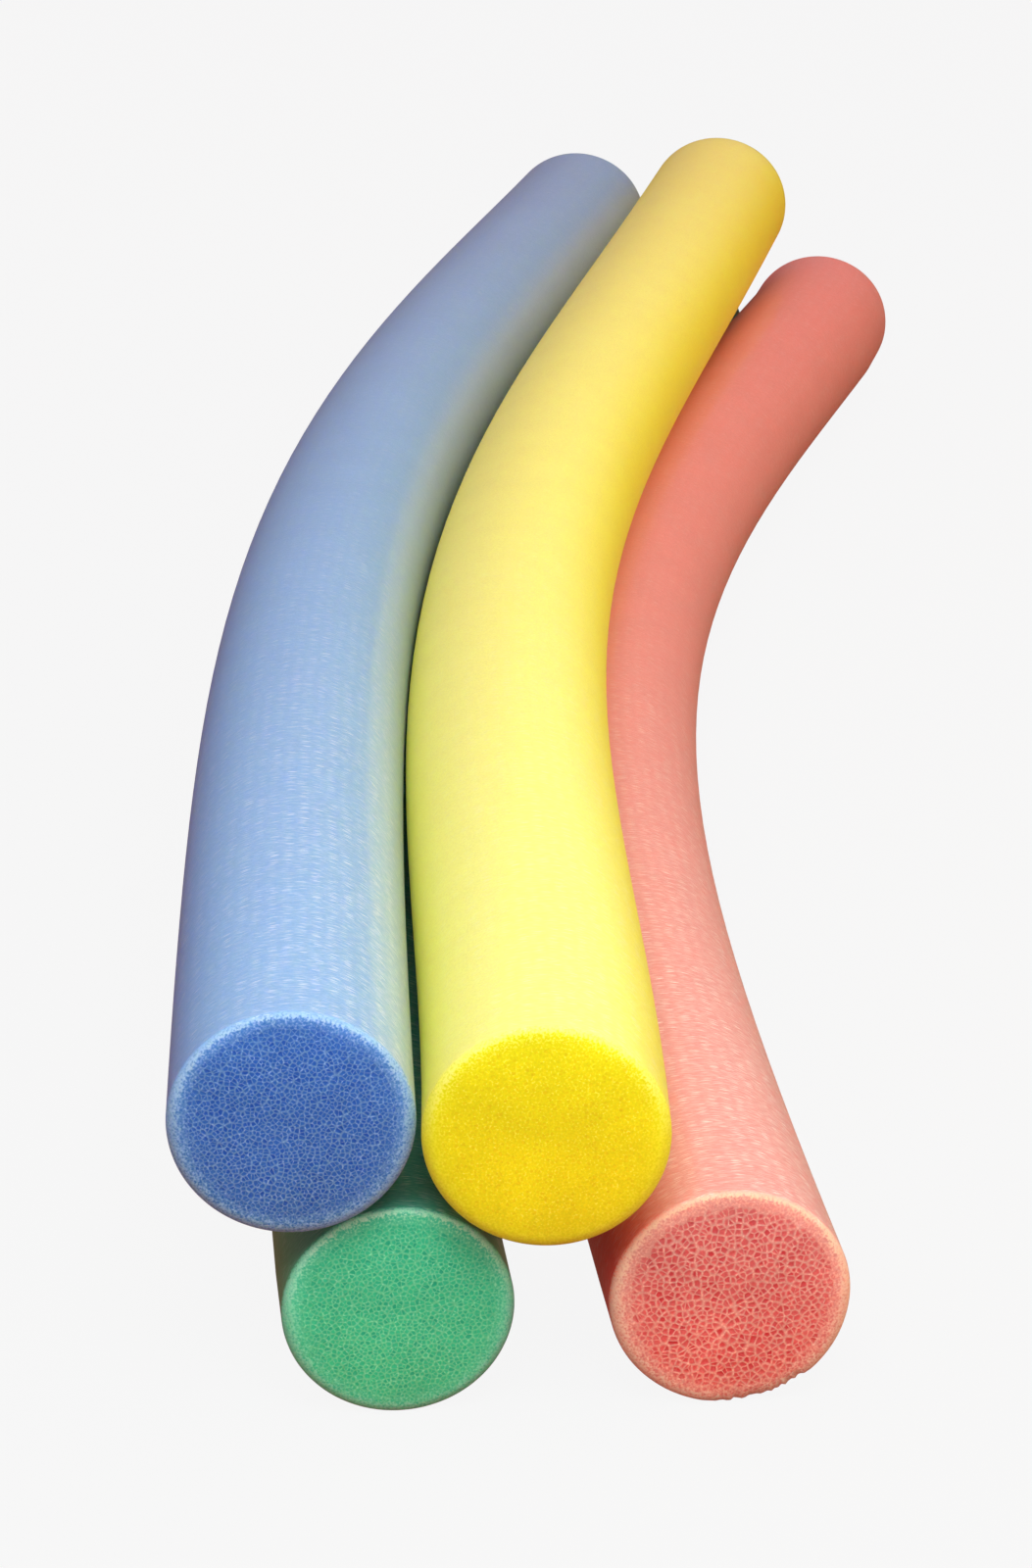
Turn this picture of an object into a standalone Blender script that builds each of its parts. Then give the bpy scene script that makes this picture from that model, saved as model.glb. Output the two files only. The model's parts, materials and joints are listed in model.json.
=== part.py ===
"""A pile of four foam pool noodles: green and red lie on the ground, blue and yellow on top of them.

Lengths are in metres and +Z is up. The noodles run along +Y, away from the viewer, and their far
halves swing towards +X. The origin is on the ground, under the middle of the pile.
"""

import math

import bmesh
import bpy
import numpy as np
from mathutils import Matrix

# Each noodle is one solid round bar of closed-cell foam, cut square at both ends
NOODLE_DIAMETER = 0.070
NOODLE_LENGTH = 1.200

# The green noodle carries two others and is squeezed thinner by this
GREEN_SQUEEZE = 0.003

# The cut edges are a little rounded, and soft foam is less high than wide
EDGE_RADIUS = 0.0022
HEIGHT_SHARE = 0.967

# Two noodles that touch keep this gap, and one on the ground is pressed flat this deep
TOUCH_GAP = 0.0003
REST_FLAT_DEPTH = 0.0005

# How far each near end lies behind the near end of the yellow noodle
BLUE_SETBACK = 0.0025
GREEN_SETBACK = 0.0205
RED_SETBACK = 0.0200

# How much higher the far end of each upper noodle lies than its near end
BLUE_RISE = -0.0053
YELLOW_RISE = 0.0064

# The yellow noodle's heading from its near end to its far end, in degrees from +Y towards +X
YELLOW_HEADINGS = (-0.3, -2.2, 2.7, 8.1, 10.2, 9.7)

# Where the others run: 1 is side by side with the neighbour, from the near end to the far end
BLUE_LEFT_OF_YELLOW_SHARES = (1.01, 1.015, 1.02, 1.095, 1.105, 1.005)
RED_RIGHT_OF_YELLOW_SHARES = (0.79, 0.59, 0.48, 0.395, 0.465, 0.72)
GREEN_LEFT_OF_RED_SHARES = (1.38, 1.285, 1.145, 1.085, 1.055, 1.03)

# How far each route is drawn past both ends, and the fineness of routes and solids
ROUTE_OVERRUN_SHARE = 0.25
STATIONS = 27
EDGE_SEGMENTS = 3
ROUTE_POINTS = 400
SIDES = 32

# Flat colours of the four foams, as red, green and blue in linear light
BLUE_FOAM = (0.254, 0.376, 0.686)
YELLOW_FOAM = (0.871, 0.855, 0.216)
GREEN_FOAM = (0.060, 0.434, 0.254)
RED_FOAM = (0.807, 0.262, 0.238)
FOAM_ROUGHNESS = 0.55


def smooth_curve(values, place):
    """The smooth curve through evenly spaced values, read at places from 0 to 1 and level beyond."""
    knots = np.linspace(0, 1, len(values))
    return np.polyval(np.polyfit(knots, values, len(values) - 1), np.clip(place, 0, 1))


def distance_along(route):
    """The distance from the first point of a route to each of its points."""
    steps = np.linalg.norm(np.diff(route, axis=0), axis=1)
    return np.concatenate([[0], np.cumsum(steps)])


def heading_route(headings):
    """A level route that follows its headings over one noodle's length, and runs on straight beyond."""
    place = np.linspace(-ROUTE_OVERRUN_SHARE, 1 + ROUTE_OVERRUN_SHARE, ROUTE_POINTS)
    travel = place * NOODLE_LENGTH
    angle = np.radians(smooth_curve(headings, place))
    step = np.diff(travel)[:, None]
    pointing = np.column_stack([np.sin(angle), np.cos(angle)])
    run = np.cumsum((pointing[1:] + pointing[:-1]) / 2 * step, axis=0)
    route = np.vstack([np.zeros(2), run])
    start = [np.interp(0, travel, route[:, 0]), np.interp(0, travel, route[:, 1])]
    return route - start, place


def route_beside(route, place, shares, spacing):
    """A route to the right of another, by a share of the spacing that changes along it."""
    forward = np.gradient(route, axis=0)
    forward /= np.linalg.norm(forward, axis=1)[:, None]
    right = np.column_stack([forward[:, 1], -forward[:, 0]])
    return route + right * (smooth_curve(shares, place) * spacing)[:, None]


def cut_to_length(route, place, setback):
    """Evenly spaced points of a route, over the length of the noodle that follows it."""
    travelled = distance_along(route)
    near_end = np.interp(0, place, travelled) + setback
    wanted = near_end + np.linspace(0, NOODLE_LENGTH, STATIONS)
    return np.column_stack([np.interp(wanted, travelled, route[:, axis]) for axis in (0, 1)])


def distances_to(points, route):
    """The least distance, seen from above, from each point to the line through a route."""
    start = route[:-1]
    span = np.diff(route, axis=0)
    offset = points[:, None, :] - start[None]
    share = np.clip((offset * span).sum(2) / (span * span).sum(1), 0, 1)
    return np.linalg.norm(offset - share[..., None] * span, axis=2).min(1)


def heights_on(points, spacing, lower_points, lower_height):
    """How high each point of a centre line has to be to clear a lower noodle by one spacing."""
    aside = distances_to(points, lower_points)
    return lower_height + HEIGHT_SHARE * np.sqrt(np.clip(spacing**2 - aside**2, 0, None))


def lay_on(points, rise, clear_heights):
    """A centre line that slopes by its rise and is let down until it touches."""
    slope = np.linspace(0, rise, len(points))
    return np.column_stack([points, slope + (clear_heights - slope).max()])


def foam(name, colour):
    """The matt, even finish of one foam."""
    material = bpy.data.materials.new(name)
    material.use_nodes = True
    shader = material.node_tree.nodes["Principled BSDF"]
    shader.inputs["Base Color"].default_value = (*colour, 1)
    shader.inputs["Roughness"].default_value = FOAM_ROUGHNESS
    shader.inputs["Metallic"].default_value = 0
    return material


def noodle(name, collection, parent, line, diameter, material):
    """A foam bar along its centre line, drawn round and then flattened, with its origin at its near end."""
    round_line = (line - line[0]) / (1, 1, HEIGHT_SHARE)
    curve = bpy.data.curves.new(name + "_route", "CURVE")
    curve.dimensions = "3D"
    curve.twist_mode = "Z_UP"
    curve.bevel_depth = diameter / 2
    curve.bevel_resolution = (SIDES - 4) // 2
    curve.use_fill_caps = True
    spline = curve.splines.new("POLY")
    spline.points.add(len(line) - 1)
    spline.points.foreach_set("co", np.column_stack([round_line, np.ones(len(line))]).ravel())
    tube = bpy.data.objects.new(name + "_tube", curve)
    tube.location = line[0]
    collection.objects.link(tube)
    bpy.context.view_layer.update()

    evaluated = tube.evaluated_get(bpy.context.evaluated_depsgraph_get())
    mesh = bpy.data.meshes.new_from_object(evaluated)
    place = tube.matrix_world.copy()
    bpy.data.objects.remove(tube)
    mesh.transform(Matrix.Diagonal((1, 1, HEIGHT_SHARE, 1)))
    weld = bmesh.new()
    weld.from_mesh(mesh)
    bmesh.ops.remove_doubles(weld, verts=weld.verts, dist=TOUCH_GAP / 10)
    bmesh.ops.recalc_face_normals(weld, faces=weld.faces)
    weld.to_mesh(mesh)
    weld.free()
    mesh.name = name
    mesh.shade_smooth()
    mesh.set_sharp_from_angle(angle=math.radians(40))
    mesh.materials.clear()
    mesh.materials.append(material)

    obj = bpy.data.objects.new(name, mesh)
    collection.objects.link(obj)
    obj.parent = parent
    obj.matrix_world = place
    edges = obj.modifiers.new("rounded_cut_edges", "BEVEL")
    edges.width = EDGE_RADIUS
    edges.segments = EDGE_SEGMENTS
    edges.limit_method = "ANGLE"
    edges.angle_limit = math.radians(60)
    edges.use_clamp_overlap = False
    return obj


def ground_cutter(collection, parent, points, height):
    """A box under the ground, as wide as the pile, that presses the lower noodles flat."""
    low = points.min(0) - NOODLE_DIAMETER
    high = points.max(0) + NOODLE_DIAMETER
    box = bmesh.new()
    bmesh.ops.create_cube(box, size=1)
    box.transform(Matrix.Diagonal((*(high - low), height, 1)))
    mesh = bpy.data.meshes.new("ground_cutter")
    box.to_mesh(mesh)
    box.free()
    cutter = bpy.data.objects.new("ground_cutter", mesh)
    cutter.hide_render = True
    cutter.display_type = "WIRE"
    collection.objects.link(cutter)
    cutter.parent = parent
    cutter.location = (*(low + high) / 2, -height / 2)
    return cutter


def press_flat(obj, cutter):
    """Cuts away what would reach below the ground."""
    flat = obj.modifiers.new("rest_flat", "BOOLEAN")
    flat.operation = "DIFFERENCE"
    flat.solver = "EXACT"
    flat.object = cutter


def centre_on_origin(parent, objects):
    """Moves the pile so that its box stands over the origin."""
    bpy.context.view_layer.update()
    depsgraph = bpy.context.evaluated_depsgraph_get()
    corners = []
    for obj in objects:
        mesh = obj.evaluated_get(depsgraph).to_mesh()
        corners += [obj.matrix_world @ vertex.co for vertex in mesh.vertices]
    corners = np.array(corners)
    middle = (corners.min(0) + corners.max(0)) / 2
    parent.location = (-middle[0], -middle[1], 0)


for old in list(bpy.data.objects):
    bpy.data.objects.remove(old, do_unlink=True)
noodles = bpy.data.collections.new("pool_noodles")
cutters = bpy.data.collections.new("cutters")
for new_collection in (noodles, cutters):
    bpy.context.scene.collection.children.link(new_collection)
pile = bpy.data.objects.new("pile", None)
noodles.objects.link(pile)

# Spacing of centre lines that lie side by side
green_diameter = NOODLE_DIAMETER - GREEN_SQUEEZE
like_spacing = NOODLE_DIAMETER + TOUCH_GAP
green_spacing = (NOODLE_DIAMETER + green_diameter) / 2 + TOUCH_GAP

# Routes, seen from above: the others are set out from the yellow one's
yellow_route, place = heading_route(YELLOW_HEADINGS)
left_of_yellow = tuple(-share for share in BLUE_LEFT_OF_YELLOW_SHARES)
left_of_red = tuple(-share for share in GREEN_LEFT_OF_RED_SHARES)
blue_route = route_beside(yellow_route, place, left_of_yellow, like_spacing)
red_route = route_beside(yellow_route, place, RED_RIGHT_OF_YELLOW_SHARES, like_spacing)
green_route = route_beside(red_route, place, left_of_red, green_spacing)
yellow = cut_to_length(yellow_route, place, 0)
blue = cut_to_length(blue_route, place, BLUE_SETBACK)
red = cut_to_length(red_route, place, RED_SETBACK)
green = cut_to_length(green_route, place, GREEN_SETBACK)

# Heights: the lower two are pressed on the ground, the upper two are laid on them
red_height = HEIGHT_SHARE * NOODLE_DIAMETER / 2 - REST_FLAT_DEPTH
green_height = HEIGHT_SHARE * green_diameter / 2 - REST_FLAT_DEPTH
red_line = np.column_stack([red, np.full(STATIONS, red_height)])
green_line = np.column_stack([green, np.full(STATIONS, green_height)])
blue_line = lay_on(blue, BLUE_RISE, heights_on(blue, green_spacing, green, green_height))
yellow_over_green = heights_on(yellow, green_spacing, green, green_height)
yellow_over_red = heights_on(yellow, like_spacing, red, red_height)
yellow_line = lay_on(yellow, YELLOW_RISE, np.maximum(yellow_over_green, yellow_over_red))

blue_foam = foam("blue_foam", BLUE_FOAM)
yellow_foam = foam("yellow_foam", YELLOW_FOAM)
green_foam = foam("green_foam", GREEN_FOAM)
red_foam = foam("red_foam", RED_FOAM)
blue_noodle = noodle("blue_noodle", noodles, pile, blue_line, NOODLE_DIAMETER, blue_foam)
yellow_noodle = noodle("yellow_noodle", noodles, pile, yellow_line, NOODLE_DIAMETER, yellow_foam)
green_noodle = noodle("green_noodle", noodles, pile, green_line, green_diameter, green_foam)
red_noodle = noodle("red_noodle", noodles, pile, red_line, NOODLE_DIAMETER, red_foam)

ground = ground_cutter(cutters, pile, np.vstack([green, red]), NOODLE_DIAMETER)
press_flat(green_noodle, ground)
press_flat(red_noodle, ground)
centre_on_origin(pile, [blue_noodle, yellow_noodle, green_noodle, red_noodle])
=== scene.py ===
"""The looks of a pile of four foam pool noodles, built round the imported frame.

Lengths are in metres and +Z is up. The noodles run along +Y, away from the camera. Each is first worked
out as a straight bar, with x across it, y along it from the near end and z up it, and then bent along the
line on which it lies.
"""

import json
import math

import bpy
import numpy as np
from mathutils.geometry import delaunay_2d_cdt
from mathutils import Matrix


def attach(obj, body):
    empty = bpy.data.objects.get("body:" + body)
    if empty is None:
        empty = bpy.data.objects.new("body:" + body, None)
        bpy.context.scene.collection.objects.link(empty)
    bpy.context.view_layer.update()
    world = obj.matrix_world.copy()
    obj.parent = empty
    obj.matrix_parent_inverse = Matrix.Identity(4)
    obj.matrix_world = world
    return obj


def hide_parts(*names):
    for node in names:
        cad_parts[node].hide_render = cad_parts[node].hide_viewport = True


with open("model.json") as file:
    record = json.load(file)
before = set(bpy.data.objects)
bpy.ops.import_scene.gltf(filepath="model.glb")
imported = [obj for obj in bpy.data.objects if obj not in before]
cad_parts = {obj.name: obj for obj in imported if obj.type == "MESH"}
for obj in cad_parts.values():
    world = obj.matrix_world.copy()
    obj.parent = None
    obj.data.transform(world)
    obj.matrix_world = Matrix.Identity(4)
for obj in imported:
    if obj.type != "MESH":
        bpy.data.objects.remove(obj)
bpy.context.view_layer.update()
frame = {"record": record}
scene = bpy.context.scene

# Camera: a short telephoto 1.2 m in front of the cut ends and 0.6 m up, looking down the pile. Its place
# and tilt are those that put the four noodles' outlines where the photograph has them.
CAMERA_PLACE = (-0.0415, -1.8284, 0.6231)
CAMERA_TILT_DOWN = math.radians(19.21)
LENS_MM = 109.7
SENSOR_MM = 36
CLIP_NEAR = 0.05
CLIP_FAR = 100

camera_data = bpy.data.cameras.new("camera")
camera_data.lens = LENS_MM
camera_data.sensor_width = SENSOR_MM
camera_data.clip_start = CLIP_NEAR
camera_data.clip_end = CLIP_FAR
camera = bpy.data.objects.new("camera", camera_data)
camera.location = CAMERA_PLACE
camera.rotation_euler = (math.pi / 2 - CAMERA_TILT_DOWN, 0, 0)
scene.collection.objects.link(camera)
scene.camera = camera
scene.view_settings.view_transform = "Standard"

# Studio light: a large soft box high in front makes the near ends bright and leaves the far ones dimmer. A
# small warm one low in front lights the cut faces, and a yellowish one fills in from the right. The tent
# round them is pale overhead and dim and reddish below, which gives the undersides their warm tone.
ZENITH_HEX = "#E5C0CD"
HORIZON_HEX = "#73655B"
BELOW_HEX = "#814538"
ZENITH_STOP = 0.85
HORIZON_STOP = 0.55
BELOW_STOP = 0.35
TENT_STRENGTH = 1.0
MAIN_BOX_SIZE = 0.9
MAIN_BOX_PLACE = (0.0, -1.5, 1.4)
MAIN_BOX_AIM = (0.0, -0.5, 0.06)
MAIN_BOX_POWER = 23
MAIN_BOX_HEX = "#E2FFFA"
RIGHT_BOX_SIZE = 0.9
RIGHT_BOX_PLACE = (1.3, -0.2, 0.5)
RIGHT_BOX_AIM = (0.0, -0.2, 0.06)
RIGHT_BOX_POWER = 8.5
RIGHT_BOX_HEX = "#FFEEA6"
FRONT_BOX_SIZE = 0.4
FRONT_BOX_PLACE = (0.0, -1.6, 0.2)
FRONT_BOX_AIM = (0.0, -0.6, 0.06)
FRONT_BOX_POWER = 4.2
FRONT_BOX_HEX = "#FFD6CE"


def linear(hex_colour):
    """An sRGB hex colour as linear red, green and blue: each part over 255, then the sRGB curve undone."""
    parts = np.array([int(hex_colour[i:i + 2], 16) for i in (1, 3, 5)]) / 255
    return tuple(np.where(parts <= 0.04045, parts / 12.92, ((parts + 0.055) / 1.055) ** 2.4))


def add_node(tree, kind, inputs=None, **settings):
    """Adds a shader node with its settings. Each input, by name or number, is given a value or a link.

    A Mix node's inputs go by number: 0 is its factor, 4 and 5 are its vectors and 6 and 7 its colours. Its
    output 1 is the mixed vector and 2 the mixed colour.
    """
    new = tree.nodes.new("ShaderNode" + kind)
    for key, value in settings.items():
        setattr(new, key, value)
    for key, value in (inputs or {}).items():
        if isinstance(value, bpy.types.NodeSocket):
            tree.links.new(value, new.inputs[key])
        else:
            new.inputs[key].default_value = value
    return new


tent = bpy.data.worlds.new("tent")
scene.world = tent
tent.use_nodes = True
sky = tent.node_tree
sky.nodes.clear()
direction = add_node(sky, "TexCoord")
height = add_node(sky, "SeparateXYZ", {0: direction.outputs["Generated"]})
# The level is 0 straight down and 1 straight up, and the tent's stops are on the same scale
level = add_node(sky, "MapRange", {"Value": height.outputs["Z"], "From Min": -1.0, "From Max": 1.0})
tent_colours = add_node(sky, "ValToRGB", {"Fac": level.outputs[0]})
stops = tent_colours.color_ramp.elements
stops[0].position = BELOW_STOP
stops[0].color = (*linear(BELOW_HEX), 1)
stops[1].position = ZENITH_STOP
stops[1].color = (*linear(ZENITH_HEX), 1)
horizon = stops.new(HORIZON_STOP)
horizon.color = (*linear(HORIZON_HEX), 1)
glow = add_node(sky, "Background", {"Color": tent_colours.outputs["Color"], "Strength": TENT_STRENGTH})
add_node(sky, "OutputWorld", {"Surface": glow.outputs[0]})


def soft_box(name, size, place, aim, power, hex_colour):
    """A square area light at a place, turned towards the point that it lights."""
    data = bpy.data.lights.new(name, "AREA")
    data.shape = "SQUARE"
    data.size = size
    data.energy = power
    data.color = linear(hex_colour)
    lamp = bpy.data.objects.new(name, data)
    lamp.location = place
    back = np.array(place) - np.array(aim)
    tilt = math.atan2(math.hypot(back[0], back[1]), back[2])
    lamp.rotation_euler = (tilt, 0, math.atan2(back[0], -back[1]))
    lamp.visible_camera = False
    scene.collection.objects.link(lamp)


soft_box("main_box", MAIN_BOX_SIZE, MAIN_BOX_PLACE, MAIN_BOX_AIM, MAIN_BOX_POWER, MAIN_BOX_HEX)
soft_box("right_box", RIGHT_BOX_SIZE, RIGHT_BOX_PLACE, RIGHT_BOX_AIM, RIGHT_BOX_POWER, RIGHT_BOX_HEX)
soft_box("front_box", FRONT_BOX_SIZE, FRONT_BOX_PLACE, FRONT_BOX_AIM, FRONT_BOX_POWER, FRONT_BOX_HEX)

# Floor: a pale sweep that glows by itself, as a lit table does, so that shadows on it stay faint. It sends
# no light back up at the noodles, whose undersides take the tent's warm tone instead. It is wide enough for
# its far edge to stay near the horizon in a low side view.
FLOOR_SIZE = 80
FLOOR_DROP = 0.0001
FLOOR_GLOW_HEX = "#F4F4F4"
FLOOR_COLOUR_HEX = "#282828"

floor_half = FLOOR_SIZE / 2
floor_signs = ((-1, -1), (1, -1), (1, 1), (-1, 1))
floor_corners = [(x * floor_half, y * floor_half, -FLOOR_DROP) for x, y in floor_signs]
floor_mesh = bpy.data.meshes.new("floor")
floor_mesh.from_pydata(floor_corners, [], [(0, 1, 2, 3)])
floor = bpy.data.objects.new("floor", floor_mesh)
scene.collection.objects.link(floor)
floor.visible_diffuse = False
floor.visible_glossy = False
lit_table = bpy.data.materials.new("lit_table")
lit_table.use_nodes = True
table = lit_table.node_tree
table.nodes.clear()
table_paint = add_node(table, "BsdfDiffuse", {"Color": (*linear(FLOOR_COLOUR_HEX), 1)})
table_glow = add_node(table, "Emission", {"Color": (*linear(FLOOR_GLOW_HEX), 1), "Strength": 1.0})
table_both = add_node(table, "AddShader", {0: table_paint.outputs[0], 1: table_glow.outputs[0]})
add_node(table, "OutputMaterial", {"Surface": table_both.outputs[0]})
floor_mesh.materials.append(lit_table)

# Red noodle, lower right: a solid bar of closed-cell polyethylene foam, extruded through a round die that
# closes its skin, and sawn square. Its cells are the coarsest, and its near edge is torn at the lower right.
# It lies beside the yellow one's route, which is worked out first, from its headings in degrees.
NOODLE_DIAMETER = 0.070
NOODLE_LENGTH = 1.200
HEIGHT_SHARE = 0.967
TOUCH_GAP = 0.0003
REST_FLAT_DEPTH = 0.0005
YELLOW_HEADINGS = (-0.3, -2.2, 2.7, 8.1, 10.2, 9.7)
RED_RIGHT_OF_YELLOW_SHARES = (0.79, 0.59, 0.48, 0.395, 0.465, 0.72)
RED_SETBACK = 0.0200
ROUTE_OVERRUN = 0.25
ROUTE_POINTS = 400
LINE_POINTS = 121


def smooth_curve(values, place):
    """The polynomial through evenly spaced values, read at places from 0 to 1 and level beyond."""
    knots = np.linspace(0, 1, len(values))
    return np.polyval(np.polyfit(knots, values, len(values) - 1), np.clip(place, 0, 1))


def heading_route(headings):
    """A level route that follows its headings over one noodle's length, and a quarter more at both ends.

    Each step goes by the mean of the directions at its two ends, and the steps are added up. The route is
    then moved so that the noodle's near end lies at zero.
    """
    place = np.linspace(-ROUTE_OVERRUN, 1 + ROUTE_OVERRUN, ROUTE_POINTS)
    travel = place * NOODLE_LENGTH
    angle = np.radians(smooth_curve(headings, place))
    pointing = np.column_stack([np.sin(angle), np.cos(angle)])
    run = np.cumsum((pointing[1:] + pointing[:-1]) / 2 * np.diff(travel)[:, None], axis=0)
    route = np.vstack([np.zeros(2), run])
    start = [np.interp(0, travel, route[:, axis]) for axis in (0, 1)]
    return route - start, place


def route_beside(route, place, shares, spacing):
    """A route to the right of another: each point goes sideways by its own share of the spacing."""
    forward = np.gradient(route, axis=0)
    forward /= np.linalg.norm(forward, axis=1)[:, None]
    right = np.column_stack([forward[:, 1], -forward[:, 0]])
    return route + right * (smooth_curve(shares, place) * spacing)[:, None]


def cut_to_length(route, place, setback):
    """Points of a route every 10 mm, over the length of the noodle that follows it."""
    travelled = np.concatenate([[0], np.cumsum(np.linalg.norm(np.diff(route, axis=0), axis=1))])
    wanted = np.interp(0, place, travelled) + setback + np.linspace(0, NOODLE_LENGTH, LINE_POINTS)
    return np.column_stack([np.interp(wanted, travelled, route[:, axis]) for axis in (0, 1)])


def smooth_step(values, low, high):
    """0 below low, 1 above high and an even S between them."""
    share = np.clip((values - low) / (high - low), 0, 1)
    return share * share * (3 - 2 * share)


# The cut: the points round its edge and on a ring just inside it, how the cells are laid out and shaken,
# where they close and grow shallow near the edge, how deep each part of them lies, and the face's crown
AROUND = 720
EDGE_POINTS = AROUND + AROUND // 2
INNER_RING_GAP = 0.0006
SPARE_CELLS = 4
CELLS_BEYOND = 2
CELL_WIDTH_SHARE = 1.10
CELL_SHAKE_SHARE = 0.46
MISSING_CELL_SHARE = 0.08
CLOSED_ZONE = 0.0001
SHALLOW_ZONE = 0.0020
SHALLOW_FROM_SHARE = -0.3
OPEN_FROM = -0.0005
LEAST_PIT = 0.45
SHADE_PIT = 0.55
MIDDLE_DIP = 1.15
WALL_DIP = 0.05
WALL_SHADE = 0.3
FACE_CROWN = 0.0009
SAME_POINT = 1e-7
RED_CELLS = {
    "cell": 0.00175,
    "wall_shares": (0.30, 0.68),
    "pit_share": 0.34,
    "closed_above": 0.0018,
    "seed": 41,
}


def corners_of(sites, triangles):
    """The centre of the circle through each triangle's three points, worked out from two of its sides."""
    first, second, third = (sites[triangles[:, k]] for k in range(3))
    one, two = second - first, third - first
    twice_area = 2 * (one[:, 0] * two[:, 1] - one[:, 1] * two[:, 0])
    one_squared, two_squared = (one**2).sum(1), (two**2).sum(1)
    along = (two[:, 1] * one_squared - one[:, 1] * two_squared) / twice_area
    up = (one[:, 0] * two_squared - two[:, 0] * one_squared) / twice_area
    return first + np.column_stack([along, up])


def room_to_edge(points, edge, closed_above):
    """How far each point is clear of the closed zone along the edge, which is wider at the top."""
    from_middle = np.linalg.norm(points, axis=1)
    turn = np.linspace(0, 2 * math.pi, len(edge), endpoint=False)
    angle = np.arctan2(points[:, 1], points[:, 0]) % (2 * math.pi)
    edge_reach = np.interp(angle, turn, np.linalg.norm(edge, axis=1), period=2 * math.pi)
    return edge_reach - CLOSED_ZONE - closed_above * np.sin(angle).clip(0) - from_middle


def sawn_face(edge, cell, wall_shares, pit_share, closed_above, seed):
    """Foam cells sawn open inside an edge of flat points: points, triangles and what each point is.

    The cells' middles are a shaken, staggered grid, and a few are missing, which makes large cells. A cell
    is the ground nearer its middle than any other, so its corners are the centres of the circles through
    three neighbouring middles. Walls run from corner to corner. Each cell's floor is drawn in from its
    corners by a share of its own, so the walls are unequally thick. It lies a share of the cell's size
    deeper, less near the edge, and the cells with the darkest shade are the deepest.
    """
    random = np.random.default_rng(seed)
    radius = np.linalg.norm(edge, axis=1).max()
    reach = int(radius / cell) + SPARE_CELLS
    column, row = np.meshgrid(np.arange(-reach, reach + 1), np.arange(-reach, reach + 1))
    sites = np.stack([(column + row % 2 / 2) * CELL_WIDTH_SHARE, row / CELL_WIDTH_SHARE], -1).reshape(-1, 2)
    sites = (sites + random.uniform(-CELL_SHAKE_SHARE, CELL_SHAKE_SHARE, sites.shape)) * cell
    sites = sites[random.uniform(size=len(sites)) > MISSING_CELL_SHARE]
    sites = sites[np.linalg.norm(sites, axis=1) < radius + CELLS_BEYOND * cell]
    shade = random.uniform(size=len(sites))
    wall_share = random.uniform(*wall_shares, len(sites))
    triangles = np.array(delaunay_2d_cdt(sites.tolist(), [], [], 0, 0)[2])
    corners = corners_of(sites, triangles)

    # A cell is open where all its corners are clear of the closed zone along the edge
    room = room_to_edge(corners, edge, closed_above)
    is_open = np.ones(len(sites), bool)
    np.logical_and.at(is_open, triangles, (room > 0)[:, None])
    used = is_open[triangles]
    kept = used.any(1)
    corner_number = EDGE_POINTS + np.cumsum(kept) - 1
    floor_count = used.sum()
    floor_number = np.full(used.shape, -1)
    floor_number[used] = EDGE_POINTS + kept.sum() + np.arange(floor_count)
    owner = triangles[used]
    from_corner = np.repeat(np.arange(len(triangles)), 3)[used.ravel()]
    spread = corners[from_corner] - sites[owner]
    floors = sites[owner] + spread * (1 - wall_share[owner, None])
    corner_count = np.bincount(owner, minlength=len(sites)).clip(1)
    size = np.bincount(owner, np.linalg.norm(spread, axis=1), len(sites)) / corner_count
    space = np.full(len(sites), np.inf)
    np.minimum.at(space, owner, room[from_corner])
    let_down = smooth_step(space, SHALLOW_FROM_SHARE * SHALLOW_ZONE, SHALLOW_ZONE)
    pit = pit_share * size * (LEAST_PIT + SHADE_PIT * shade) * let_down

    # Two triangles that share a side are joined by a wall, and the floors on its two sides by their edges
    sides = np.sort(triangles[:, [[0, 1], [1, 2], [2, 0]]].reshape(-1, 2))
    order = np.lexsort((sides[:, 1], sides[:, 0]))
    pairs = np.flatnonzero((sides[order][1:] == sides[order][:-1]).all(1))
    here, there = order[pairs] // 3, order[pairs + 1] // 3
    lines = [np.column_stack([corner_number[here], corner_number[there]])[kept[here] & kept[there]]]
    for end in range(2):
        site = sides[order[pairs], end]
        both = [floor_number[tri, np.argmax(triangles[tri] == site[:, None], 1)] for tri in (here, there)]
        both = np.column_stack(both)
        lines.append(both[is_open[site]])
    inner_ring = edge[::2] * (1 - INNER_RING_GAP / np.linalg.norm(edge[::2], axis=1))[:, None]
    points = np.vstack([edge, inner_ring, corners[kept], floors, sites[is_open]])
    lines = np.vstack(lines)
    found, _, faces, origins, _, _ = delaunay_2d_cdt(points.tolist(), lines.tolist(), [], 0, SAME_POINT)
    origin = np.array([each[0] if each else EDGE_POINTS for each in origins])

    closed, walls = np.zeros(EDGE_POINTS), np.zeros(kept.sum())
    wall_pit = random.uniform(0, WALL_DIP, len(walls)) * cell
    known = {
        "wall": np.concatenate([closed, walls + 1, np.zeros(floor_count + is_open.sum())]),
        "shade": np.concatenate([closed, walls + WALL_SHADE, shade[owner], shade[is_open]]),
        "pit": np.concatenate([closed, wall_pit, pit[owner], pit[is_open] * MIDDLE_DIP]),
    }
    found = np.array(found)
    marks = {key: values[origin] for key, values in known.items()}
    marks["open"] = smooth_step(room_to_edge(found, edge, closed_above), OPEN_FROM, SHALLOW_ZONE)
    return found, np.array(faces), marks, origin


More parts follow.
